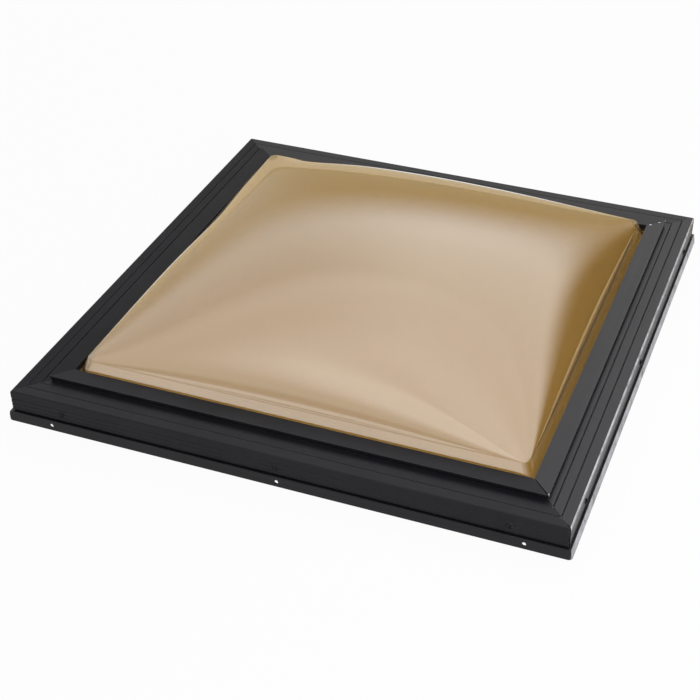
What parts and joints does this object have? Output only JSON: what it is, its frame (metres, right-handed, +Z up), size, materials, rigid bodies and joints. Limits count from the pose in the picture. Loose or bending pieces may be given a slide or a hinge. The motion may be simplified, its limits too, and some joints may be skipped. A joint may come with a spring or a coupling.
{
  "type": "roof skylight",
  "caption": "Fixed square roof skylight: a blown acrylic dome in a mitred aluminium frame that sits over a raised roof curb and lets daylight in.",
  "frame": {"origin": "centre of the plan, level with the lower edge of the drip lip", "axes": "+Z up out of the roof, -Y towards the side that faces the viewer, +X to the right"},
  "size_m": [0.6756, 0.6756, 0.1285],
  "materials": {
    "retainer": "satin black coating on extruded aluminium",
    "curb_frame": "satin black coating on extruded aluminium",
    "corner_key": "mill finish",
    "tinted_dome": "bronze tinted cast acrylic, glossy",
    "opal_dome": "opal acrylic",
    "gasket": "matt black rubber strip",
    "foam": "closed cell foam strip",
    "screw": "black coated steel"
  },
  "bodies": {
    "root": {"retainer_front": "retainer", "retainer_back": "retainer", "retainer_left": "retainer", "retainer_right": "retainer", "curb_frame_front": "curb_frame", "curb_frame_back": "curb_frame", "curb_frame_left": "curb_frame", "curb_frame_right": "curb_frame", "corner_key_front_left": "corner_key", "corner_key_front_right": "corner_key", "corner_key_back_left": "corner_key", "corner_key_back_right": "corner_key", "outer_dome": "tinted_dome", "inner_dome": "opal_dome", "retainer_gasket": "gasket", "dome_spacer": "gasket", "glazing_tape": "gasket", "curb_seal": "foam", "screws_front": "screw", "screws_back": "screw", "screws_left": "screw", "screws_right": "screw"}
  },
  "joints": []
}
